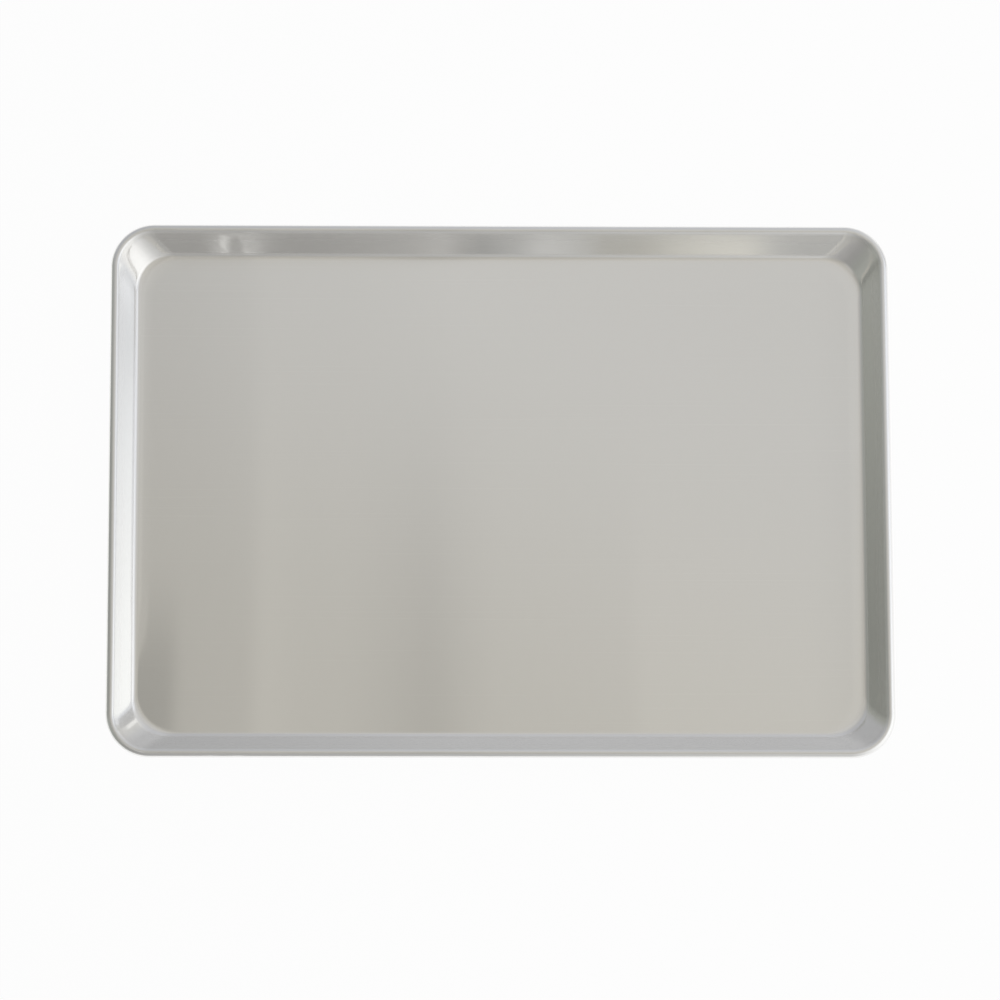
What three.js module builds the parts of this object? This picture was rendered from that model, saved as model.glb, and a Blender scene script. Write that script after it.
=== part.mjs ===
// A full-size baker's sheet pan. One aluminium sheet is drawn into a shallow tray with sloping
// walls, and its edge is rolled outwards round a steel wire, which keeps the tray from twisting.
// Millimetres, +Z up. The origin is the middle of the underside, +X runs along the long sides,
// and -Y is the front, where the two ends of the wire meet.

import * as THREE from "three";

// Overall size: the outside of the rolled rim, and the floor to the top of the rim
const RIM_LENGTH = 655.6;
const RIM_WIDTH = 455;
const INSIDE_DEPTH = 25.4;

// The sheet and the bends pressed into it
const SHEET_THICKNESS = 1;
const WALL_SLOPE_DEG = 59; // up from the floor
const FLOOR_BEND_RADIUS = 6; // inside the bend between floor and wall
const RIM_CORNER_RADIUS = 37; // in plan, outside of the rim
const FLOOR_CORNER_RADIUS = 35; // in plan, edge of the flat floor
const CORNER_OPENING = 1.25; // at 1 the corners open evenly down the wall, above 1 more near the floor

// The wire, and the bead of sheet rolled round it
const WIRE_DIAMETER = 5.2;
const WIRE_CLEARANCE = 0.4; // all round, inside the bead
const WIRE_END_GAP = 1; // between the two ends of the wire
const HEM_GAP = 0.5; // between the sheet's rolled edge and the back of the wall

// Facets
const CORNER_STEPS = 12; // in a quarter turn, an even number
const FLOOR_BEND_STEPS = 6;
const BEAD_STEPS = 16;
const WIRE_SIDES = 12;

const QUARTER_TURN = Math.PI / 2;
const HALF_TURN = Math.PI;
const FULL_TURN = 2 * Math.PI;

// The section through a wall. A point has an inset, inwards from the outside of the rim, and a
// height above the underside. An angle turns from straight up towards the middle of the tray.
const wallAngle = THREE.MathUtils.degToRad(WALL_SLOPE_DEG);
const beadRadius = WIRE_DIAMETER / 2 + WIRE_CLEARANCE + SHEET_THICKNESS;
const beadBore = beadRadius - SHEET_THICKNESS;
const beadCentre = {
  inset: beadRadius,
  height: SHEET_THICKNESS + INSIDE_DEPTH - beadRadius,
};

// The floor ends where its bend starts: a wall that leaves the bend and meets the bead with no kink
// stands the sum of both radii off the line through their centres.
const bendToBeadHeight = INSIDE_DEPTH - FLOOR_BEND_RADIUS - beadRadius;
const bendToBeadRun =
  (FLOOR_BEND_RADIUS + beadRadius + bendToBeadHeight * Math.cos(wallAngle)) / Math.sin(wallAngle);
const floorInset = beadCentre.inset + bendToBeadRun;
const bendCentre = {
  inset: floorInset,
  height: SHEET_THICKNESS + FLOOR_BEND_RADIUS,
};

// The bead is rolled on until its edge comes up behind the wall, the hem gap short of touching it.
const hemAngle = Math.acos((beadBore - HEM_GAP) / beadRadius);
const curlEnd = wallAngle - (FULL_TURN - hemAngle);

// Points of an arc in the section.
function sectionArc(centre, radius, from, to, steps) {
  return Array.from({ length: steps + 1 }, (_, step) => {
    const angle = THREE.MathUtils.lerp(from, to, step / steps);
    return {
      inset: centre.inset + radius * Math.sin(angle),
      height: centre.height + radius * Math.cos(angle),
    };
  });
}

// One face of the sheet, from the edge of the floor up the wall and round the bead.
function sheetFace(bendRadius, rollRadius) {
  const bendEnd = HALF_TURN + wallAngle;
  return [
    ...sectionArc(bendCentre, bendRadius, HALF_TURN, bendEnd, FLOOR_BEND_STEPS),
    ...sectionArc(beadCentre, rollRadius, wallAngle, curlEnd, BEAD_STEPS),
  ];
}

// Corner radius in plan at an inset. Round the bead the corners share one centre, so that it stays
// round, and from there they open out smoothly to the corner radius of the floor.
function cornerRadiusAt(inset) {
  const beadInnerSide = 2 * beadRadius;
  const openedAtFloor = FLOOR_CORNER_RADIUS - (RIM_CORNER_RADIUS - floorInset);
  const wallShare = Math.max(0, inset - beadInnerSide) / (floorInset - beadInnerSide);
  return RIM_CORNER_RADIUS - inset + openedAtFloor * wallShare ** CORNER_OPENING;
}

// Plan outline at an inset: a rectangle with round corners, as points from the right-hand end of the
// front side, round the back, to the left-hand end of the front side.
function outlineAt(inset) {
  const radius = cornerRadiusAt(inset);
  const x = RIM_LENGTH / 2 - inset - radius;
  const y = RIM_WIDTH / 2 - inset - radius;
  const outline = new THREE.Path();
  [[x, -y], [x, y], [-x, y], [-x, -y]].forEach(([centreX, centreY], corner) => {
    const start = (corner - 1) * QUARTER_TURN;
    outline.absarc(centreX, centreY, radius, start, start + QUARTER_TURN);
  });
  return outline.getPoints(CORNER_STEPS / 2); // an arc takes two steps for each division
}

// A closed solid over a stack of loops, which all have the same even number of points. Strips of
// triangles from side to side cover the first loop and the last.
function loft(loops) {
  const count = loops[0].length;
  const triangles = [];
  const addQuad = (a, b, c, d) => triangles.push(a, b, c, a, c, d);
  for (let loop = 1; loop < loops.length; loop++) {
    const before = (loop - 1) * count;
    const after = loop * count;
    for (let i = 0; i < count; i++) {
      const j = (i + 1) % count;
      addQuad(before + i, after + i, after + j, before + j);
    }
  }
  const last = (loops.length - 1) * count;
  for (let i = 0; i + 1 < count / 2; i++) {
    const across = count - 1 - i;
    addQuad(i, i + 1, across - 1, across);
    addQuad(last + across, last + across - 1, last + i + 1, last + i);
  }
  const geometry = new THREE.BufferGeometry().setFromPoints(loops.flat());
  geometry.setIndex(triangles);
  geometry.computeVertexNormals();
  return geometry;
}

// The tray with its rolled rim: up the inside of the sheet, round its edge and down the outside.
function panGeometry() {
  const inside = sheetFace(FLOOR_BEND_RADIUS, beadRadius);
  const outside = sheetFace(FLOOR_BEND_RADIUS + SHEET_THICKNESS, beadBore);
  const section = [...inside, ...outside.reverse()];
  return loft(
    section.map(({ inset, height }) =>
      outlineAt(inset).map(({ x, y }) => new THREE.Vector3(x, y, height)),
    ),
  );
}

// The wire, bent to the outline of the bead, with its ends facing each other at the front.
function wireGeometry() {
  const section = sectionArc(beadCentre, WIRE_DIAMETER / 2, 0, FULL_TURN, WIRE_SIDES).slice(1);
  const runs = section.map(({ inset, height }) => {
    const frontY = inset - RIM_WIDTH / 2;
    const start = new THREE.Vector2(WIRE_END_GAP / 2, frontY);
    const end = new THREE.Vector2(-WIRE_END_GAP / 2, frontY);
    const run = [start, ...outlineAt(inset), end];
    return run.map(({ x, y }) => new THREE.Vector3(x, y, height));
  });
  return loft(runs[0].map((_, station) => runs.map((run) => run[station])));
}

function part(name, geometry, colour, roughness) {
  const material = new THREE.MeshStandardMaterial({ color: colour, roughness, metalness: 1 });
  const mesh = new THREE.Mesh(geometry, material);
  mesh.name = name;
  return mesh;
}

const sheetPan = new THREE.Group();
sheetPan.add(part("pan_body", panGeometry(), 0xc8c7c1, 0.35)); // satin aluminium
sheetPan.add(part("rim_wire", wireGeometry(), 0x8f9396, 0.5)); // galvanised steel

export default sheetPan;
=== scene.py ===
# %% [markdown]
# # A sheet pan in a light tent
#
# This lesson dresses the CAD model of a baker's sheet pan: one aluminium sheet, pressed into a shallow
# tray, with its edge rolled round a steel wire. The CAD model says how large each piece is and where it
# goes. Here each piece is made again with a fine surface and the finish of the real metal, and is then
# lit and seen as in the photograph. Everything is in metres, with +Z up and the pan standing on z = 0.

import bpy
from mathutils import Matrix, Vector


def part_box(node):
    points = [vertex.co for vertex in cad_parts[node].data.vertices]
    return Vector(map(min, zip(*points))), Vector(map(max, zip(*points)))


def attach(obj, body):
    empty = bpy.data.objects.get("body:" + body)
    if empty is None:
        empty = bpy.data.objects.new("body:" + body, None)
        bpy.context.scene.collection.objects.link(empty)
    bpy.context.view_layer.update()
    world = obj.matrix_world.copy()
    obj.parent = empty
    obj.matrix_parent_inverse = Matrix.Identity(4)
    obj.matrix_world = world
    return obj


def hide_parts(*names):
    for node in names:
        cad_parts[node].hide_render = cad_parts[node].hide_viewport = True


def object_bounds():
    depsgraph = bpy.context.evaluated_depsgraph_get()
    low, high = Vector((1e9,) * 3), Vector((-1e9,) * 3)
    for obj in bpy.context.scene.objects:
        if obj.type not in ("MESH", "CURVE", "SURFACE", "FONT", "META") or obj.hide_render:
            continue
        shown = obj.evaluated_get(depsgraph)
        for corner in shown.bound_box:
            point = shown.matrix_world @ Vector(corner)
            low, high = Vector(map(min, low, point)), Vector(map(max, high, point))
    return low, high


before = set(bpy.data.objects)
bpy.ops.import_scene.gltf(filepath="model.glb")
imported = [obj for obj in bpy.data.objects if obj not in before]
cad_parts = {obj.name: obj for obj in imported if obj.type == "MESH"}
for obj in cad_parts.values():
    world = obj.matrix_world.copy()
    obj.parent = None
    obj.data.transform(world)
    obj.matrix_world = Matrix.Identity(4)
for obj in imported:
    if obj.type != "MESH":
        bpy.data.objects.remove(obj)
cad_low, cad_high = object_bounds()
print("CAD box in mm:", [round(1000 * side, 1) for side in cad_high - cad_low])

# %% Other modules
import math

import bmesh
import bpy
from mathutils import Matrix, Vector, noise

# %% [markdown]
# ## The camera
#
# The photograph looks almost straight down, tilted a little towards the front, from far away: the pan's
# far side is hardly shorter than its near side. Tilt, distance and focal length were fitted to the rim
# and to the edge of the floor. A camera in Blender looks along its own -Z, so turning it about X by
# the tilt is nearly all the turning that it needs. The photographer stood a little to the left and held
# the camera square to the pan, so it goes round the pan by a few degrees and rolls back by as many.

# %% Place the camera
TILT = math.radians(11.96)  # off straight down
ROUND_TO_LEFT = math.radians(6.33)
ROLL_BACK = math.radians(6.32)
DISTANCE = 4.572
AIM = Vector((0.00015, -0.00456, 0))
FOCAL_IN_PICTURE_WIDTHS = 5.4393

camera_data = bpy.data.cameras.new("camera")
camera_data.lens = FOCAL_IN_PICTURE_WIDTHS * camera_data.sensor_width
camera_data.clip_end = 4 * DISTANCE
camera = bpy.data.objects.new("camera", camera_data)
leaning = Matrix.Rotation(-ROUND_TO_LEFT, 3, "Z") @ Matrix.Rotation(TILT, 3, "X")
camera.location = AIM + leaning @ Vector((0, 0, DISTANCE))
camera.rotation_euler = (leaning @ Matrix.Rotation(ROLL_BACK, 3, "Z")).to_euler()
bpy.context.scene.collection.objects.link(camera)
bpy.context.scene.camera = camera
print("camera at", [round(place, 3) for place in camera.location], "lens", round(camera_data.lens, 1))

# %% [markdown]
# ## Sizes of the sheet
#
# The rim's outline, the wire and the bead round it are read from the frame, so they can't drift from
# the CAD model. The sheet's thickness, the wall's slope, the bend at the floor, the corners and the gap
# behind the rolled edge are the few sizes that a box can't give.

# %% Read and derive sizes
SHEET = 0.001
WALL_SLOPE = math.radians(59)
FLOOR_BEND = 0.006
RIM_CORNER = 0.037
FLOOR_CORNER = 0.035
CORNER_OPENING = 1.25
HEM_GAP = 0.0005

half_length, half_width = cad_high.x, cad_high.y
wire_low, wire_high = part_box("rim_wire")
wire_radius = (wire_high.z - wire_low.z) / 2
bead_height = (wire_high.z + wire_low.z) / 2
bead_radius = half_length - wire_high.x + wire_radius

bend_to_bead_rise = bead_height - SHEET - FLOOR_BEND
bend_to_bead_run = FLOOR_BEND + bead_radius + bend_to_bead_rise * math.cos(WALL_SLOPE)
floor_inset = bead_radius + bend_to_bead_run / math.sin(WALL_SLOPE)
hem_angle = math.acos((bead_radius - SHEET - HEM_GAP) / bead_radius)
bead_turn = math.tau - hem_angle
corner = Vector((half_length - RIM_CORNER, half_width - RIM_CORNER, 0))
print("bead radius", round(1000 * bead_radius, 2), "mm, floor inset", round(1000 * floor_inset, 2), "mm")

# %% [markdown]
# ## The section through the wall
#
# A press bends the flat sheet up in one curve, and a roller curls its edge outwards. The section is
# drawn the same way: one vertex is spun round the floor bend, pulled straight up the wall and spun
# round the wire. Each vertex keeps its **rise**, the length of sheet between it and the floor, so that
# the finish can tell floor, wall and bead apart later.

# %% Draw the section
BEND_STEPS = 12
WALL_CUTS = 9
BEAD_STEPS = 30
ALONG_Y = Vector((0, 1, 0))


def spin_vertex(bm, vertex, centre, angle, steps):
    """Sweeps a vertex round a centre in the section's plane and returns where it ends."""
    swept = bmesh.ops.spin(bm, geom=[vertex], cent=centre, axis=ALONG_Y, angle=angle, steps=steps)
    return next(item for item in swept["geom_last"] if isinstance(item, bmesh.types.BMVert))


def draw_section(bm):
    """The sheet's inner face, from the edge of the floor to the rolled edge, at the right-hand side."""
    floor_edge = Vector((half_length - floor_inset, corner.y, SHEET))
    bend_centre = floor_edge + Vector((0, 0, FLOOR_BEND))
    bead_centre = Vector((half_length - bead_radius, corner.y, bead_height))
    towards_tray = Vector((-math.sin(WALL_SLOPE), 0, math.cos(WALL_SLOPE)))

    first = bm.verts.new(floor_edge)
    wall_foot = spin_vertex(bm, first, bend_centre, -WALL_SLOPE, BEND_STEPS)
    wall = bmesh.ops.extrude_vert_indiv(bm, verts=[wall_foot])
    wall_top = wall["verts"][0]
    wall_top.co = bead_centre + bead_radius * towards_tray
    spin_vertex(bm, wall_top, bead_centre, bead_turn, BEAD_STEPS)
    wall_height = (wall_top.co - wall_foot.co).length
    bmesh.ops.subdivide_edges(bm, edges=wall["edges"], cuts=WALL_CUTS)
    return wall_height


def measure_rise(bm, rise_of):
    """Walks along the section and notes how much sheet lies behind each vertex."""
    bm.verts.ensure_lookup_table()
    vertex, edge, rise = bm.verts[0], None, 0.0
    while vertex:
        vertex[rise_of] = rise
        onward = [link for link in vertex.link_edges if link is not edge]
        edge = onward[0] if onward else None
        rise += edge.calc_length() if edge else 0
        vertex = edge.other_vert(vertex) if edge else None
    return rise


pan = bmesh.new()
rise_of = pan.verts.layers.float.new("rise")
turn_of = pan.verts.layers.float.new("turn")
wall_height = draw_section(pan)
sheet_rise = measure_rise(pan, rise_of)
bend_rise = WALL_SLOPE * FLOOR_BEND
bead_rise = bend_rise + wall_height
print("section:", len(pan.verts), "points,", round(1000 * sheet_rise, 1), "mm of sheet")

# %% [markdown]
# ## One quarter of the pan
#
# The pan is the same in all four quarters, so one is made and mirrored twice. The section is spun a
# quarter turn for the corner. Spun alone, the corner would be much tighter at the floor than at the
# rim; the real press tool opens it out, so each ring is moved back towards the middle and widened by the
# same amount. Then both ends of the corner are pulled out to the middle of the pan's sides.

# %% Spin the corner and pull out the sides
CORNER_STEPS = 56
SIDE_STEP = 0.01


def edges_of(items):
    return [item for item in items if isinstance(item, bmesh.types.BMEdge)]


def verts_of(items):
    return [item for item in items if isinstance(item, bmesh.types.BMVert)]


def open_corner(bm, turn_of):
    """Opens the corner towards the floor, and notes at which angle round it each vertex lies."""
    opened_at_floor = FLOOR_CORNER - (RIM_CORNER - floor_inset)
    for vertex in bm.verts:
        out = (vertex.co - corner).xy
        inset = RIM_CORNER - out.length
        share = max(0, inset - 2 * bead_radius) / (floor_inset - 2 * bead_radius)
        vertex[turn_of] = math.atan2(out.y, out.x)
        vertex.co.xy += opened_at_floor * share**CORNER_OPENING * (out.normalized() - Vector((1, 1)))


def pull_side(bm, edges, flatten):
    """Pulls one end of the corner straight out until it reaches a middle plane of the pan."""
    pulled = verts_of(bmesh.ops.extrude_edge_only(bm, edges=edges)["geom"])
    bmesh.ops.scale(bm, vec=flatten, verts=pulled)
    ends = set(pulled)
    long_edges = [link for end in pulled for link in end.link_edges if link.other_vert(end) not in ends]
    cuts = round(max(link.calc_length() for link in long_edges) / SIDE_STEP)
    bmesh.ops.subdivide_edges(bm, edges=long_edges, cuts=cuts, use_grid_fill=True)
    return cuts


section_edges = pan.edges[:]
corner_end = bmesh.ops.spin(
    pan,
    geom=pan.verts[:] + section_edges,
    cent=corner,
    axis=(0, 0, 1),
    angle=math.pi / 2,
    steps=CORNER_STEPS,
)["geom_last"]
open_corner(pan, turn_of)
cuts_short = pull_side(pan, section_edges, (1, 0, 1))
cuts_long = pull_side(pan, edges_of(corner_end), (0, 1, 1))
print("quarter of the wall:", len(pan.faces), "faces, cuts", cuts_short, "and", cuts_long)

# %% [markdown]
# ## The floor
#
# The floor closes the hole inside the wall. Smooth shading blends the normals of neighbouring faces, so
# narrow rings beside the bend keep its curve out of the flat floor. Inside them, a line along each
# middle plane turns the hole into a patch with four sides, which `grid_fill` covers with quads.

# %% Fill the floor
RING_WIDTHS = (0.0015, 0.003, 0.005)
TINY = 1e-6
floor_corner = Vector((half_length - floor_inset - FLOOR_CORNER, half_width - floor_inset - FLOOR_CORNER))


def outwards(vertex):
    return Vector((math.cos(vertex[turn_of]), math.sin(vertex[turn_of])))


def lies_right(edge):
    """True for an edge on the right-hand half of the corner, below its diagonal."""
    across = (edge.verts[0].co + edge.verts[1].co).xy / 2 - floor_corner
    return across.x > across.y


def fill_floor(bm):
    """Rings beside the bend, then lines along the middle planes, then the grid between them."""
    rim = [edge for edge in bm.edges if edge.is_boundary and not any(v[rise_of] for v in edge.verts)]
    for width in RING_WIDTHS:
        ring = bmesh.ops.extrude_edge_only(bm, edges=rim)["geom"]
        for vertex in verts_of(ring):
            vertex.co.xy -= width * outwards(vertex)
        rim = edges_of(ring)
    right = [edge for edge in rim if lies_right(edge)]
    ends = [vertex for vertex in verts_of(ring) if min(abs(vertex.co.x), abs(vertex.co.y)) < TINY]
    lines = bmesh.ops.extrude_vert_indiv(bm, verts=ends)
    for vertex in lines["verts"]:
        vertex.co = (0, 0, SHEET)
    for line in lines["edges"]:
        facing_right = all(abs(vertex.co.x) < TINY for vertex in line.verts)
        cuts = (len(right) if facing_right else len(rim) - len(right)) - 1
        bmesh.ops.subdivide_edges(bm, edges=[line], cuts=cuts)
    bmesh.ops.remove_doubles(bm, verts=bm.verts, dist=TINY)
    opposite = [edge for edge in bm.edges if edge.is_wire and all(abs(v.co.x) < TINY for v in edge.verts)]
    return bmesh.ops.grid_fill(bm, edges=right + opposite)["faces"]


floor_faces = fill_floor(pan)
print("quarter of the floor:", len(floor_faces), "faces")

# %% [markdown]
# ## Where each point lay on the flat sheet
#
# Rolling leaves a fine grain in the sheet before it is pressed, and the press carries that grain up the
# walls. So the pan's own UV map is the flat sheet: a point on the wall is laid down beyond the edge of the
# floor, as far as its rise. The map has no seam. A second number, **run**, is the way round the rim, for
# the marks that the press draws up the walls.

# %% Lay the sheet flat
flat_x = pan.verts.layers.float.new("flat_x")
flat_y = pan.verts.layers.float.new("flat_y")
run_of = pan.verts.layers.float.new("run")


def column_above(foot):
    """The vertices above a point on the floor's edge, up the wall and round the bead."""
    while foot:
        yield foot
        higher = [edge.other_vert(foot) for edge in foot.link_edges]
        foot = next((vertex for vertex in higher if vertex[rise_of] > foot[rise_of]), None)


def lay_flat(bm):
    """Notes each vertex's place on the flat sheet, and how far round the rim it is."""
    feet = []
    for vertex in bm.verts:
        vertex[flat_x], vertex[flat_y] = vertex.co.xy
        if not vertex[rise_of] and any(edge.other_vert(vertex)[rise_of] for edge in vertex.link_edges):
            feet.append(vertex)
    for foot in feet:
        straight_run = min(foot.co.y, floor_corner.y) + max(0, floor_corner.x - foot.co.x)
        for vertex in column_above(foot):
            vertex[flat_x], vertex[flat_y] = foot.co.xy + vertex[rise_of] * outwards(foot)
            vertex[run_of] = straight_run + FLOOR_CORNER * foot[turn_of]
    return len(feet)


print("columns in a quarter:", lay_flat(pan))

# %% [markdown]
# ## The whole sheet
#
# Two mirrors make the quarter into the whole. Mirroring turns faces over, so the normals are worked out
# again while the sheet has no thickness yet. A pressed sheet is never quite true, and on bright metal the
# eye sees it at once: so the floor lifts by a fraction of a millimetre and comes up a little before its
# bend, the walls wave a little, and the corners, where spare metal was squeezed, have faint flutes. The
# Solidify modifier then gives the sheet its thickness on the outside, and Bevel breaks its cut edge.

# %% Mirror the quarter
def mirror_twice(bm):
    for axis in ("X", "Y"):
        bmesh.ops.mirror(bm, geom=bm.verts[:] + bm.edges[:] + bm.faces[:], axis=axis, merge_dist=TINY)
    bmesh.ops.remove_doubles(bm, verts=bm.verts, dist=TINY)
    bmesh.ops.recalc_face_normals(bm, faces=bm.faces)
    bm.normal_update()
    floor_sum = sum(face.normal.z for face in bm.faces if not any(v[rise_of] for v in face.verts))
    if floor_sum < 0:
        bmesh.ops.reverse_faces(bm, faces=bm.faces)


mirror_twice(pan)
print("whole sheet:", len(pan.faces), "faces")

# %% Lift the floor beside its bend
EDGE_LIFT = 0.0003
SLOW_REACH = sum(RING_WIDTHS)
QUICK_REACH = sum(RING_WIDTHS[:2])
LEFT_RISE_NONE = -0.155  # along Y: the left side is flat from here to the front
LEFT_RISE_FULL = -0.09


def inside_floor(vertex):
    """How far a vertex lies inside the edge of the floor."""
    past_x = abs(vertex.co.x) - floor_corner.x
    past_y = abs(vertex.co.y) - floor_corner.y
    return FLOOR_CORNER - math.hypot(max(0, past_x), max(0, past_y)) - min(0, max(past_x, past_y))


def come_up(vertex, reach):
    """How far up the sheet is, as a share, if it starts to rise at this reach before the bend."""
    if not vertex[rise_of]:
        return max(0, 1 - inside_floor(vertex) / reach) ** 2
    left = max(0, 1 - vertex[rise_of] / bend_rise)
    return left**2 * (1 + 2 * (1 + bend_rise / reach) * (1 - left))


def edge_lift(vertex):
    """Slow at the back and most of the left, quick at the right, and none at the front."""
    to_right = math.copysign(math.cos(vertex[turn_of]), vertex.co.x)
    to_back = math.copysign(math.sin(vertex[turn_of]), vertex.co.y)
    up_left = (vertex.co.y - LEFT_RISE_NONE) / (LEFT_RISE_FULL - LEFT_RISE_NONE)
    slow = min(1, max(0, up_left)) * max(0, -to_right) ** 2 + max(0, to_back) ** 2
    quick = max(0, to_right) ** 2
    return EDGE_LIFT * (slow * come_up(vertex, SLOW_REACH) + quick * come_up(vertex, QUICK_REACH))


reaches = [round(1000 * reach, 1) for reach in (SLOW_REACH, QUICK_REACH)]
print("beside the bend the floor comes up over", reaches, "mm")

# %% Make it a little untrue
FLOOR_LIFT = 0.00035
FLOOR_EVEN_SHARE = 0.6
FLOOR_WAVES_PER_METRE = 6
WALL_WAVE = 0.00006
WALL_WAVE_LENGTH = 0.07
WALL_RIPPLE = 0.00002
RIPPLE_LENGTH = 0.025
RIPPLE_RISE = 0.012
PUCKER = 0.00004
PUCKERS_PER_RADIAN = 8
PUCKER_RISE = 0.02

# Each pattern is cut from the noise at a height of its own, and each corner's pucker too
FLOOR_CUT = 2.5
WALL_CUT = 7.5
CORNER_CUTS = (2.5, 6.5)


def floor_untrue(x, y):
    """The floor is highest in the middle, and uneven."""
    across = x / (half_length - floor_inset)
    along = y / (half_width - floor_inset)
    room = max(0, 1 - across**2) * max(0, 1 - along**2)
    waves = noise.noise((FLOOR_WAVES_PER_METRE * x, FLOOR_WAVES_PER_METRE * y, FLOOR_CUT))
    return FLOOR_LIFT * room * (FLOOR_EVEN_SHARE + (1 - FLOOR_EVEN_SHARE) * waves)


def wall_untrue(x, y, rise, turn):
    """The walls wave and ripple, and the corners are fluted, most of all half way up."""
    up_wall = math.sin(math.pi * min(1, rise / bead_rise))
    wave = WALL_WAVE * noise.noise((x / WALL_WAVE_LENGTH, y / WALL_WAVE_LENGTH, WALL_CUT))
    ripple = WALL_RIPPLE * noise.noise((x / RIPPLE_LENGTH, y / RIPPLE_LENGTH, rise / RIPPLE_RISE))
    which_corner = math.copysign(CORNER_CUTS[0], x) + math.copysign(CORNER_CUTS[1], y)
    pucker = PUCKER * noise.noise((PUCKERS_PER_RADIAN * turn, rise / PUCKER_RISE, which_corner))
    return up_wall * (wave + ripple + math.sin(2 * turn) * pucker)


def untrue(vertex):
    """How far a vertex is off its true place, along its normal."""
    x, y = vertex.co.xy
    if not vertex[rise_of]:
        return edge_lift(vertex) + floor_untrue(x, y)
    return edge_lift(vertex) + wall_untrue(x, y, vertex[rise_of], vertex[turn_of])


pan.normal_update()
shifts = [(vertex, untrue(vertex) * vertex.normal) for vertex in pan.verts]
for vertex, shift in shifts:
    vertex.co += shift
print("largest shift in mm:", round(1000 * max(shift.length for _, shift in shifts), 3))

# %% Turn it into an object
def add_object(bm, name):
    """Puts a bmesh into the scene as a smooth object, at the origin, with its place in its mesh."""
    for face in bm.faces:
        face.smooth = True
    mesh = bpy.data.meshes.new(name)
    bm.to_mesh(mesh)
    bm.free()
    made = bpy.data.objects.new(name, mesh)
    bpy.context.scene.collection.objects.link(made)
    return made


def map_flat_sheet(bm):
    """The UV map: the flat sheet, in metres."""
    flat_map = bm.loops.layers.uv.new("flat_sheet")
    for face in bm.faces:
        for loop in face.loops:
            vertex = loop.vert
            signs = (math.copysign(1, vertex.co.x), math.copysign(1, vertex.co.y))
            loop[flat_map].uv = (signs[0] * vertex[flat_x], signs[1] * vertex[flat_y])


CUT_EDGE_BEVEL = SHEET / 5
CUT_EDGE_STEPS = 2
CUT_EDGE_ANGLE = math.radians(60)

map_flat_sheet(pan)
for spent in ("flat_x", "flat_y"):
    pan.verts.layers.float.remove(pan.verts.layers.float[spent])
pan_sheet = add_object(pan, "pan_sheet")
thickness = pan_sheet.modifiers.new("thickness", "SOLIDIFY")
thickness.thickness = SHEET
thickness.offset = -1
thickness.use_even_offset = True
thickness.material_offset = 1
thickness.material_offset_rim = 1
cut_edge = pan_sheet.modifiers.new("cut edge", "BEVEL")
cut_edge.width = CUT_EDGE_BEVEL
cut_edge.segments = CUT_EDGE_STEPS
cut_edge.limit_method = "ANGLE"
cut_edge.angle_limit = CUT_EDGE_ANGLE
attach(pan_sheet, "root")
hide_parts("pan_body")
print(pan_sheet.name, len(pan_sheet.data.polygons), "faces before its thickness")

# %% [markdown]
# ## The wire in the rim
#
# A steel wire lies in the bead, so that the rim stays straight. It starts at the front with a rounded
# cut end, runs along half the front side, up the right side and along half the back, and the other half
# is its mirror image. At the back the halves are merged, and at the front their ends face each other.

# %% Bend the wire
WIRE_SIDES = 20
WIRE_END_GAP = 0.001
WIRE_END_BEVEL = 0.0005
WIRE_END_STEPS = 3


def push_on(bm, loop, step):
    """Extends the wire's open end in a straight line."""
    pushed = bmesh.ops.extrude_edge_only(bm, edges=loop)["geom"]
    bmesh.ops.translate(bm, vec=step, verts=verts_of(pushed))
    return edges_of(pushed)


def turn_corner(bm, loop, centre):
    """Bends the wire's open end a quarter turn round a corner of the pan."""
    ends = list({vertex for edge in loop for vertex in edge.verts})
    turned = bmesh.ops.spin(
        bm,
        geom=ends + loop,
        cent=centre,
        axis=(0, 0, 1),
        angle=math.pi / 2,
        steps=CORNER_STEPS,
    )
    return edges_of(turned["geom_last"])


def bend_wire(bm):
    """The right-hand half of the wire, from its end at the front to the middle of the back."""
    start = Vector((WIRE_END_GAP / 2, bead_radius - half_width, bead_height))
    upright = Matrix.Translation(start) @ Matrix.Rotation(math.pi / 2, 4, "Y")
    bmesh.ops.create_circle(bm, cap_ends=True, radius=wire_radius, segments=WIRE_SIDES, matrix=upright)
    cut_end = bm.edges[:]
    loop = push_on(bm, cut_end, (corner.x - start.x, 0, 0))
    loop = turn_corner(bm, loop, (corner.x, -corner.y, 0))
    loop = push_on(bm, loop, (0, 2 * corner.y, 0))
    loop = turn_corner(bm, loop, corner)
    push_on(bm, loop, (-corner.x, 0, 0))
    bmesh.ops.bevel(
        bm,
        geom=cut_end,
        offset=WIRE_END_BEVEL,
        affect="EDGES",
        segments=WIRE_END_STEPS,
        profile=0.5,
        material=-1,
    )


wire = bmesh.new()
bend_wire(wire)
bmesh.ops.mirror(wire, geom=wire.verts[:] + wire.edges[:] + wire.faces[:], axis="X", merge_dist=TINY)
bmesh.ops.remove_doubles(wire, verts=wire.verts, dist=TINY)
bmesh.ops.recalc_face_normals(wire, faces=wire.faces)
rim_wire = add_object(wire, "rim_wire_bent")
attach(rim_wire, "root")
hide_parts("rim_wire")
print(rim_wire.name, len(rim_wire.data.polygons), "faces")

# %% [markdown]
# ## Shader sums in Python
#
# A finish is a sum of many small patterns. Written as nodes and links it is hard to read, so a small class
# wraps one socket: Python's own operators on it add Math nodes, and its method `add` adds any other node.
# A few helpers then give the patterns: a band that fades in, cloudy noise with patches of a given size
# in metres, and a mix of two colours.

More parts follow.
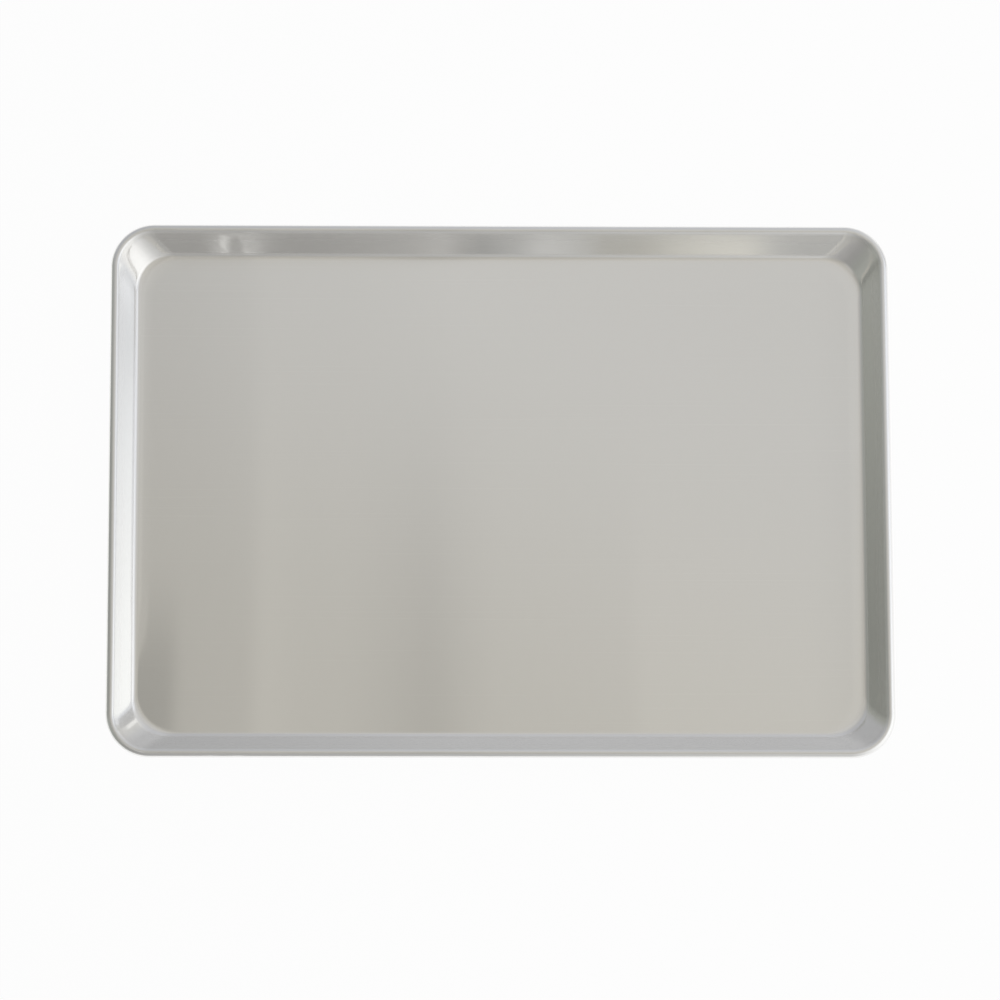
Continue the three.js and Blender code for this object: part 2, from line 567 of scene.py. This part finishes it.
# %% Wrap a socket
class Shade:
    """A socket in a node tree. Sums on it add Math nodes, and add() adds any other node."""

    def __init__(self, tree, socket=None):
        self.tree = tree
        self.socket = socket

    def add(self, kind, settings=None, sockets=None, output=0):
        """Adds a node: its settings come first, then the values or links of its sockets."""
        node = self.tree.nodes.new(kind)
        for name, value in (settings or {}).items():
            if name == "stops":
                set_stops(node.color_ramp, value)
            else:
                setattr(node, name, value)
        for name, value in (sockets or {}).items():
            if isinstance(value, Shade):
                self.tree.links.new(value.socket, node.inputs[name])
            else:
                node.inputs[name].default_value = value
        return Shade(self.tree, node.outputs[output] if node.outputs else None)

    def maths(self, operation, *values):
        return self.add("ShaderNodeMath", {"operation": operation}, dict(enumerate(values)))

    def __add__(self, other):
        return self.maths("ADD", self, other)

    def __sub__(self, other):
        return self.maths("SUBTRACT", self, other)

    def __rsub__(self, other):
        return self.maths("SUBTRACT", other, self)

    def __mul__(self, other):
        return self.maths("MULTIPLY", self, other)

    def __truediv__(self, other):
        return self.maths("DIVIDE", self, other)

    __radd__ = __add__
    __rmul__ = __mul__


def set_stops(ramp, stops):
    """Gives a colour ramp its stops, as pairs of a place from 0 to 1 and a colour."""
    while len(ramp.elements) < len(stops):
        ramp.elements.new(0.5)
    for element, (place, colour) in zip(ramp.elements, stops):
        element.position = place
        element.color = (*colour, 1)


print("a Shade can be added, subtracted, multiplied and divided")

# %% Patterns
def fade(value, start, end):
    """0 up to start, 1 from end on, and smooth between them."""
    return value.add(
        "ShaderNodeMapRange",
        {"interpolation_type": "SMOOTHSTEP"},
        {"Value": value, "From Min": start, "From Max": end},
    )


def cloud(place, size, detail=2.0, offset=0.0):
    """Cloudy noise round 0.5, with patches of the given size. Another offset gives other clouds."""
    scaled = place.add(
        "ShaderNodeMapping",
        None,
        {"Vector": place, "Location": (offset, offset, offset), "Scale": [1 / length for length in size]},
    )
    return place.add("ShaderNodeTexNoise", None, {"Vector": scaled, "Scale": 1.0, "Detail": detail})


def tint(share, first, second):
    """The first colour where share is 0, the second where it is 1."""
    return share.add("ShaderNodeMix", {"data_type": "RGBA"}, {0: share, 6: first, 7: second}, output=2)


def start_material(name):
    """A material with an empty tree, and a Shade to build from."""
    material = bpy.data.materials.new(name)
    material.use_nodes = True
    material.node_tree.nodes.clear()
    return material, Shade(material.node_tree)


print("patterns: fade, cloud and tint")

# %% [markdown]
# ## Bright aluminium inside
#
# Rolled aluminium is neither a mirror nor matt: a sharp, dim reflection lies inside a wide soft one. No
# single roughness gives both, so a sharp metal and a hazy one are mixed. The sheet left the mill with a
# fine grain along its length, which draws reflections out across the grain and leaves them narrow along
# it. The grain is finer than a pixel, and as a bump it spreads the sharp reflection by itself. On the
# walls the press has burnished the metal and left faint marks that run up the wall. Where the sheet was
# worked most it is hazier: in the bend, up the wall and on the bead, which its rise tells apart, and in
# the corners, which **turn** finds, the angle round the corner. Handling adds patches and fine scratches.

# %% Tell the places on the sheet apart
BEND_FULL = 0.4  # as a share of the bend
WALL_BLEND = (0.7, 1.3)  # as shares of the bend
UPPER_WALL_BLEND = (0.4, 1.05)  # as shares of the sheet below the bead
BEAD_BLEND = 0.002


def attribute(start, name):
    return start.add("ShaderNodeAttribute", {"attribute_name": name}, output="Fac")


def places_on_sheet(start):
    """Masks that start at the bend, the wall, its upper part and the bead, and one for the corners."""
    rise = attribute(start, "rise")
    turn = attribute(start, "turn")
    from_bend = fade(rise, 0, BEND_FULL * bend_rise)
    from_wall = fade(rise, *(share * bend_rise for share in WALL_BLEND))
    from_upper_wall = fade(rise, *(share * bead_rise for share in UPPER_WALL_BLEND))
    from_bead = fade(rise, bead_rise - BEAD_BLEND, bead_rise + BEAD_BLEND)
    in_corner = turn.maths("SINE", 2 * turn) * from_wall
    return from_bend, from_wall, from_upper_wall, from_bead, in_corner


starts = [round(1000 * rise, 1) for rise in (bend_rise, bead_rise)]
print("up the sheet the wall and the bead start at", starts, "mm")

# %% Finish the inside
ALUMINIUM = (0.91, 0.905, 0.885, 1)
ALUMINIUM_ROLLED = (0.91, 0.91, 0.895, 1)
SHARP_ROUGHNESS = 0.05
BURNISHED = 0.01  # the walls are sharper by this
HAZY_ROUGHNESS = 0.32
GRAIN_SIZE = (0.015, 0.0003, 1)
GRAIN_HEIGHT = 0.0000015
GRAIN_LOST_ON_WALL = 0.7
MARK_SIZE = (0.003, 0.04, 1)
MARK_HEIGHT = 0.0000025
PATCH_SIZE = (0.12, 0.18, 1)
SCRATCH_SIZE = (0.25, 0.0012, 1)
SCRATCH_BLEND = (0.62, 0.72)

# The share of hazy metal on the floor, and what each place and kind of wear adds to it
FLOOR_HAZE = 0.34
BEND_HAZE = 0.25
WALL_HAZE = -0.49
UPPER_WALL_HAZE = 0.3
BEAD_HAZE = 0.25
CORNER_HAZE = 0.3
PATCH_HAZE = 0.3
SCRATCH_HAZE = 0.01


def aluminium(start, colour, roughness, normal):
    return start.add(
        "ShaderNodeBsdfPrincipled",
        None,
        {"Base Color": colour, "Metallic": 1.0, "Roughness": roughness, "Normal": normal},
    )


def finish_inside():
    material, start = start_material("aluminium_inside")
    from_bend, from_wall, from_upper_wall, from_bead, in_corner = places_on_sheet(start)
    sheet = start.add("ShaderNodeUVMap", {"uv_map": "flat_sheet"})
    run_and_rise = {"X": attribute(start, "run"), "Y": attribute(start, "rise")}
    up_wall = start.add("ShaderNodeCombineXYZ", None, run_and_rise)
    patches = cloud(sheet, PATCH_SIZE, detail=3, offset=4.2)
    grain = cloud(sheet, GRAIN_SIZE, detail=1)
    scratches = fade(cloud(sheet, SCRATCH_SIZE, detail=1, offset=7.7), *SCRATCH_BLEND)
    draw_marks = cloud(up_wall, MARK_SIZE, detail=2)

    haze = FLOOR_HAZE + PATCH_HAZE * (patches - 0.5) + SCRATCH_HAZE * scratches + CORNER_HAZE * in_corner
    haze += BEND_HAZE * from_bend + WALL_HAZE * from_wall + UPPER_WALL_HAZE * from_upper_wall
    haze += BEAD_HAZE * from_bead
    height = GRAIN_HEIGHT * grain * (1 - GRAIN_LOST_ON_WALL * from_wall)
    height += MARK_HEIGHT * draw_marks * from_wall
    bumped = start.add("ShaderNodeBump", None, {"Distance": 1.0, "Height": height})
    colour = tint(from_bead, ALUMINIUM, ALUMINIUM_ROLLED)
    sharp = aluminium(start, colour, SHARP_ROUGHNESS - BURNISHED * from_wall, bumped)
    hazy = aluminium(start, colour, HAZY_ROUGHNESS, bumped)
    metal = start.add("ShaderNodeMixShader", None, {0: haze, 1: sharp, 2: hazy})
    start.add("ShaderNodeOutputMaterial", None, {"Surface": metal})
    return material


inside_finish = finish_inside()
print(inside_finish.name, len(inside_finish.node_tree.nodes), "nodes")

# %% [markdown]
# ## Dull aluminium underneath
#
# The outside never met the polished side of the press tool, oven heat has dulled it, and it slides over
# shelves and racks. So it is rougher than the inside, with cloudy patches of oxide and scuffs. It is also
# darker than the inside. Part of that is the dull oxide, and part is painted shade: the outside would
# mirror the shadowed ground under the pan, and its darker colour stands in for that shadow.

# %% Finish the underside
# Partly oxide and partly painted shade: darker than the inside, in place of the shadowed ground the
# outside mirrors
OXIDE_AND_SHADE_LIGHT = (0.68, 0.675, 0.66, 1)
OXIDE_AND_SHADE_DARK = (0.55, 0.55, 0.54, 1)
OXIDE_SIZE = (0.08, 0.08, 0.08)
OXIDE_BLEND = (0.3, 0.7)
OXIDE_ROUGHNESS = 0.34
OXIDE_UNEVEN = 0.12
SCUFF_SIZE = (0.002, 0.06, 1)
SCUFF_BLEND = (0.58, 0.7)
SCUFF_HEIGHT = 0.000006
SCUFF_POLISH = 0.08


def finish_underside():
    material, start = start_material("aluminium_underside")
    place = start.add("ShaderNodeTexCoord", output="Object")
    sheet = start.add("ShaderNodeUVMap", {"uv_map": "flat_sheet"})
    oxide = cloud(place, OXIDE_SIZE, detail=4, offset=1.7)
    grain = cloud(sheet, GRAIN_SIZE, detail=1)
    scuffs = cloud(sheet, SCUFF_SIZE, detail=2, offset=9.1)
    # Oxide clouds, on a colour darkened as painted shade
    colour = tint(fade(oxide, *OXIDE_BLEND), OXIDE_AND_SHADE_LIGHT, OXIDE_AND_SHADE_DARK)
    roughness = OXIDE_ROUGHNESS + OXIDE_UNEVEN * (oxide - 0.5) - SCUFF_POLISH * fade(scuffs, *SCUFF_BLEND)
    height = GRAIN_HEIGHT * grain + SCUFF_HEIGHT * scuffs
    bumped = start.add("ShaderNodeBump", None, {"Distance": 1.0, "Height": height})
    metal = aluminium(start, colour, roughness, bumped)
    start.add("ShaderNodeOutputMaterial", None, {"Surface": metal})
    return material


underside_finish = finish_underside()
for finish in (inside_finish, underside_finish):
    pan_sheet.data.materials.append(finish)
print(underside_finish.name, len(underside_finish.node_tree.nodes), "nodes")

# %% [markdown]
# ## Galvanised wire
#
# The wire is mild steel with a dull zinc coat. Zinc sets in small crystals, so neighbouring patches
# differ a little in shade.

# %% Finish the wire
ZINC_LIGHT = (0.62, 0.64, 0.65, 1)
ZINC_DARK = (0.42, 0.44, 0.46, 1)
ZINC_ROUGHNESS = 0.38
CRYSTALS_PER_METRE = 900.0
CRYSTAL_UNEVEN = 0.08
DULL_SIZE = (0.02, 0.02, 0.02)
DULL_UNEVEN = 0.15


def finish_wire():
    material, start = start_material("galvanised_steel")
    place = start.add("ShaderNodeTexCoord", output="Object")
    crystals = start.add(
        "ShaderNodeTexVoronoi",
        None,
        {"Vector": place, "Scale": CRYSTALS_PER_METRE},
        output="Color",
    )
    shade = start.add("ShaderNodeSeparateColor", None, {"Color": crystals}, output="Red")
    dull = cloud(place, DULL_SIZE, detail=3)
    zinc = start.add(
        "ShaderNodeBsdfPrincipled",
        None,
        {
            "Base Color": tint(shade, ZINC_LIGHT, ZINC_DARK),
            "Metallic": 1.0,
            "Roughness": ZINC_ROUGHNESS + DULL_UNEVEN * dull + CRYSTAL_UNEVEN * shade,
        },
    )
    start.add("ShaderNodeOutputMaterial", None, {"Surface": zinc})
    return material


wire_finish = finish_wire()
rim_wire.data.materials.append(wire_finish)
print(wire_finish.name, len(wire_finish.node_tree.nodes), "nodes")

# %% [markdown]
# ## The light tent
#
# Bright metal shows its surroundings more than itself, so the studio matters as much as the finish. The
# pan lies in a light tent: a round side of cloth with a soft shoulder and a flat top, which the camera
# looks through. A wall of the pan shows the far side of the tent, mirrored twice, and the pan's floor
# shows the top. So the bright right-hand side, which faces a window, whitens the left wall, and the
# left-hand side, which is in shade, darkens the right wall.

# %% Sew the tent
TENT_RADIUS = 1.5
TENT_TOP = 1.6
TENT_SHOULDER = 0.5
SHOULDER_STEPS = 12
TENT_SIDES = 96


def sew_tent():
    """A disc of cloth, its edge pulled down to the ground, and the edge between them rounded."""
    bm = bmesh.new()
    raised = Matrix.Translation((0, 0, TENT_TOP))
    bmesh.ops.create_circle(bm, cap_ends=True, radius=TENT_RADIUS, segments=TENT_SIDES, matrix=raised)
    top_edge = bm.edges[:]
    side = bmesh.ops.extrude_edge_only(bm, edges=top_edge)["geom"]
    bmesh.ops.translate(bm, vec=(0, 0, -TENT_TOP), verts=verts_of(side))
    bmesh.ops.bevel(
        bm,
        geom=top_edge,
        offset=TENT_SHOULDER,
        affect="EDGES",
        segments=SHOULDER_STEPS,
        profile=0.5,
        material=-1,
    )
    return bm


cloth = add_object(sew_tent(), "light_tent")
cloth.visible_camera = False
print(cloth.name, len(cloth.data.polygons), "faces")

# %% [markdown]
# ## The cloth's glow
#
# The cloth is lit from outside by a window and a few lamps, so its brightness changes from place to
# place. Round the side it is written down in metres along the cloth, from the middle of the front to the
# right. The pan's back wall shows a low band across the front, so that band has a finer list, with two
# narrow bright strips at its left. A soft window lies over the right-hand side, and further round come a
# dark post and a bright gap. On the top the light changes mostly from left to right, in strips that the
# pan's floor shows drawn out along them, and at the left are a dark fold and a small lamp.

# %% Patterns of light
NEUTRAL = (1, 1, 1)
GREY = (1, 0.985, 0.975)
WARM = (1, 0.98, 0.915)
CREAM = (1, 0.988, 0.965)
SAND = (1, 0.965, 0.885)
COOL = (0.975, 1, 1.075)
OLIVE = (1, 1.03, 0.965)
LAVENDER = (1, 1.01, 1.06)


def axis_of(place, axis):
    return place.add("ShaderNodeSeparateXYZ", None, {"Vector": place}, output=axis)


def light_along(metres, stops):
    """A colour that changes along the cloth. A stop is a place in metres, a brightness and a colour."""
    first, last = stops[0][0], stops[-1][0]
    scaled = [
        ((place - first) / (last - first), [level * channel for channel in colour])
        for place, level, colour in stops
    ]
    return metres.add("ShaderNodeValToRGB", {"stops": scaled}, {"Fac": (metres - first) / (last - first)})


def between(value, start, end, soft):
    """1 from start to end, fading to 0 over the length soft on both sides."""
    return fade(value, start - soft, start) * (1 - fade(value, end, end + soft))


print("colours of light:", NEUTRAL, GREY, WARM, CREAM, SAND, COOL, OLIVE, LAVENDER)

# %% Levels round the side
HALF_ROUND = math.pi * TENT_RADIUS
FRONT_HALF = 0.46
ROUND_THE_SIDE = [
    (-HALF_ROUND, 0.57, LAVENDER), (-4.3, 0.455, LAVENDER), (-3.3, 0.46, LAVENDER), (-3.0, 0.36, OLIVE),
    (-2.85, 0.33, OLIVE), (-2.57, 0.235, OLIVE), (-2.2, 0.38, OLIVE), (-1.6, 0.31, OLIVE),
    (-1.0, 0.31, GREY), (-0.3, 0.40, GREY), (0.0, 0.46, NEUTRAL), (0.65, 0.67, NEUTRAL),
    (1.4, 1.10, NEUTRAL), (1.9, 1.12, NEUTRAL), (2.3, 1.04, NEUTRAL), (2.8, 0.83, COOL),
    (2.97, 0.75, COOL), (3.03, 1.10, COOL), (3.12, 1.0, COOL), (3.2, 0.70, NEUTRAL),
    (3.7, 0.67, NEUTRAL), (4.1, 0.60, LAVENDER), (4.3, 0.55, LAVENDER), (HALF_ROUND, 0.57, LAVENDER),
]
ACROSS_THE_FRONT = [
    (-FRONT_HALF, 0.37, GREY), (-0.288, 0.345, GREY), (-0.285, 1.25, NEUTRAL), (-0.280, 1.25, NEUTRAL),
    (-0.276, 0.34, GREY), (-0.259, 0.34, GREY), (-0.256, 1.20, NEUTRAL), (-0.250, 1.20, NEUTRAL),
    (-0.246, 0.35, GREY), (-0.17, 0.355, GREY), (-0.10, 0.42, GREY), (-0.055, 0.45, GREY),
    (-0.031, 0.61, GREY), (-0.005, 0.41, GREY), (0.016, 0.35, NEUTRAL), (0.06, 0.46, NEUTRAL),
    (0.092, 0.69, NEUTRAL), (0.13, 0.58, NEUTRAL), (0.16, 0.46, WARM), (0.20, 0.48, WARM),
    (0.29, 0.765, WARM), (0.33, 0.80, WARM), (0.37, 0.51, NEUTRAL), (0.40, 0.44, NEUTRAL),
    (FRONT_HALF, 0.44, NEUTRAL),
]
print("places named round the side:", len(ROUND_THE_SIDE), "and across the front:", len(ACROSS_THE_FRONT))

# %% Light the side
WINDOW = (1.42, 1.45, 1.48, 1)
WINDOW_SHARE = 0.66
POST = (0.52, 0.52, 0.53, 1)
GAP = (1.15, 1.15, 1.15, 1)
FRONT_FADE = 0.03

# A span has a start, an end and the length over which it fades. A top is where it starts and ends to fade
FRONT_ACROSS = (FRONT_FADE - FRONT_HALF, FRONT_HALF - FRONT_FADE, FRONT_FADE)
FRONT_UP = (0.30, 0.50, 0.12)
WINDOW_ACROSS = (2.2, 2.58, 0.55)
WINDOW_UP = (0.68, 0.92, 0.1)
POST_ACROSS = (2.95, 3.38, 0.08)
POST_TOP = (0.5, 0.6)
GAP_ACROSS = (3.48, 3.58, 0.06)
GAP_TOP = (0.27, 0.35)


def side_glow(place):
    """The light round the side, with the window, the post and the gap over it."""
    left_right, front_back, height = (axis_of(place, axis) for axis in "XYZ")
    metres = TENT_RADIUS * left_right.maths("ARCTAN2", left_right, -1 * front_back)
    in_front = between(metres, *FRONT_ACROSS) * between(height, *FRONT_UP)
    in_window = between(metres, *WINDOW_ACROSS) * between(height, *WINDOW_UP)
    on_post = between(metres, *POST_ACROSS) * (1 - fade(height, *POST_TOP))
    in_gap = between(metres, *GAP_ACROSS) * (1 - fade(height, *GAP_TOP))
    plain = tint(in_front, light_along(metres, ROUND_THE_SIDE), light_along(metres, ACROSS_THE_FRONT))
    lit = tint(WINDOW_SHARE * in_window, plain, WINDOW)
    return tint(in_gap, tint(on_post, lit, POST), GAP)


print("window from", WINDOW_ACROSS[0], "to", WINDOW_ACROSS[1], "m round the side")

# %% Levels on the top
TOP_NEAR_FRONT = [
    (-0.9, 0.43, SAND), (-0.248, 0.485, SAND), (-0.238, 0.57, SAND), (-0.19, 0.53, SAND),
    (-0.14, 0.525, SAND), (-0.085, 0.472, SAND), (-0.047, 0.427, SAND), (-0.03, 0.438, SAND),
    (0.0, 0.495, SAND), (0.035, 0.537, SAND), (0.188, 0.546, SAND), (0.198, 0.59, SAND),
    (0.39, 0.593, SAND), (0.45, 0.545, SAND), (0.8, 0.575, SAND), (1.2, 0.78, NEUTRAL),
]
TOP_NEAR_BACK = [
    (-0.9, 0.43, CREAM), (-0.32, 0.535, CREAM), (-0.248, 0.57, CREAM), (-0.232, 0.594, CREAM),
    (-0.14, 0.595, CREAM), (-0.01, 0.618, CREAM), (0.40, 0.602, CREAM), (0.455, 0.57, CREAM),
    (0.8, 0.58, CREAM), (1.2, 0.78, NEUTRAL),
]
print("places named on the top:", len(TOP_NEAR_FRONT), "at the front,", len(TOP_NEAR_BACK), "at the back")

# %% Light the top
TOP_SLANT = 0.3
TOP_BLEND = (0.0, 0.6)
FOLD = (0.325, 0.315, 0.288, 1)
FOLD_ACROSS = (-1.0, -0.34, 0.013)
FOLD_ALONG = (-0.3, 0.11, 0.16)
LAMP = (1.0, 1.0, 1.02, 1)
LAMP_ACROSS = (-0.60, -0.46, 0.03)
LAMP_ALONG = (-0.60, -0.15, 0.15)
MIDDLE_ALONG = (-0.05, 0.65, 0.4)
SHADE_OFF_MIDDLE = 0.15
BLACK = (0, 0, 0, 1)


def top_glow(place):
    """The light on the top, with the fold and the lamp over it."""
    left_right, front_back = (axis_of(place, axis) for axis in "XY")
    to_back = fade(front_back + TOP_SLANT * left_right, *TOP_BLEND)
    plain = tint(to_back, light_along(left_right, TOP_NEAR_FRONT), light_along(left_right, TOP_NEAR_BACK))
    in_fold = between(left_right, *FOLD_ACROSS) * between(front_back, *FOLD_ALONG)
    by_lamp = between(left_right, *LAMP_ACROSS) * between(front_back, *LAMP_ALONG)
    off_middle = 1 - between(front_back, *MIDDLE_ALONG)
    shaded = tint(SHADE_OFF_MIDDLE * off_middle, tint(in_fold, plain, FOLD), BLACK)
    return tint(by_lamp, shaded, LAMP)


print("fold from", FOLD_ACROSS[0], "to", FOLD_ACROSS[1], "m across the top")

# %% Light the whole cloth
SHOULDER_BLEND = (0.8, 1.4)


def light_cloth():
    """The top's light in the middle, the side's light outside the shoulder."""
    material, start = start_material("glowing_cloth")
    place = start.add("ShaderNodeTexCoord", output="Object")
    left_right, front_back = (axis_of(place, axis) for axis in "XY")
    squares = left_right * left_right + front_back * front_back
    off_axis = squares.maths("SQRT", squares)
    glow = tint(fade(off_axis, *SHOULDER_BLEND), top_glow(place), side_glow(place))
    light = start.add("ShaderNodeEmission", None, {"Color": glow, "Strength": 1.0})
    start.add("ShaderNodeOutputMaterial", None, {"Surface": light})
    material.cycles.emission_sampling = "NONE"
    return material


cloth.data.materials.append(light_cloth())
print("tent", 2 * TENT_RADIUS, "m wide and", TENT_TOP, "m high")

# %% [markdown]
# ## The white ground
#
# The photograph's ground is plain white. A pale floor in soft light is a little grey, so to the camera,
# and to metal that mirrors it, most of the floor's brightness comes from a white glow. The rest is plain
# diffuse colour, so the pan's shadow stays.

# %% Lay the floor and set the world
FLOOR_HALF = 8.0
FLOOR_DROP = 0.0002
WHITE_SHARE = 0.96
PALE = (0.9, 0.9, 0.9, 1)
WHITE = (1, 1, 1, 1)


def looked_at(start):
    """1 for rays from the camera, a mirror or glass, and 0 for rays that only carry light."""
    rays = ("Is Camera Ray", "Is Glossy Ray", "Is Transmission Ray")
    camera_ray, glossy_ray, clear_ray = (start.add("ShaderNodeLightPath", output=ray) for ray in rays)
    seen = camera_ray + glossy_ray + clear_ray
    return seen.maths("MINIMUM", seen, 1.0)


def lay_floor():
    bm = bmesh.new()
    lowered = Matrix.Translation((0, 0, -FLOOR_DROP))
    bmesh.ops.create_grid(bm, x_segments=1, y_segments=1, size=FLOOR_HALF, matrix=lowered)
    ground = add_object(bm, "ground")
    material, start = start_material("white_ground")
    pale = start.add("ShaderNodeBsdfDiffuse", None, {"Color": PALE})
    white = start.add("ShaderNodeEmission", None, {"Color": WHITE, "Strength": 1.0})
    mixed = start.add("ShaderNodeMixShader", None, {0: WHITE_SHARE * looked_at(start), 1: pale, 2: white})
    start.add("ShaderNodeOutputMaterial", None, {"Surface": mixed})
    material.cycles.emission_sampling = "NONE"
    ground.data.materials.append(material)
    return ground


def set_world():
    world = bpy.data.worlds.new("studio")
    world.use_nodes = True
    world.node_tree.nodes.clear()
    start = Shade(world.node_tree)
    glow = tint(looked_at(start), PALE, WHITE)
    light = start.add("ShaderNodeBackground", None, {"Color": glow, "Strength": 1.0})
    start.add("ShaderNodeOutputWorld", None, {"Surface": light})
    bpy.context.scene.world = world


ground = lay_floor()
set_world()
bpy.context.scene.view_settings.view_transform = "Standard"
print(ground.name, 2 * FLOOR_HALF, "m wide, seen by", bpy.context.scene.camera.name)
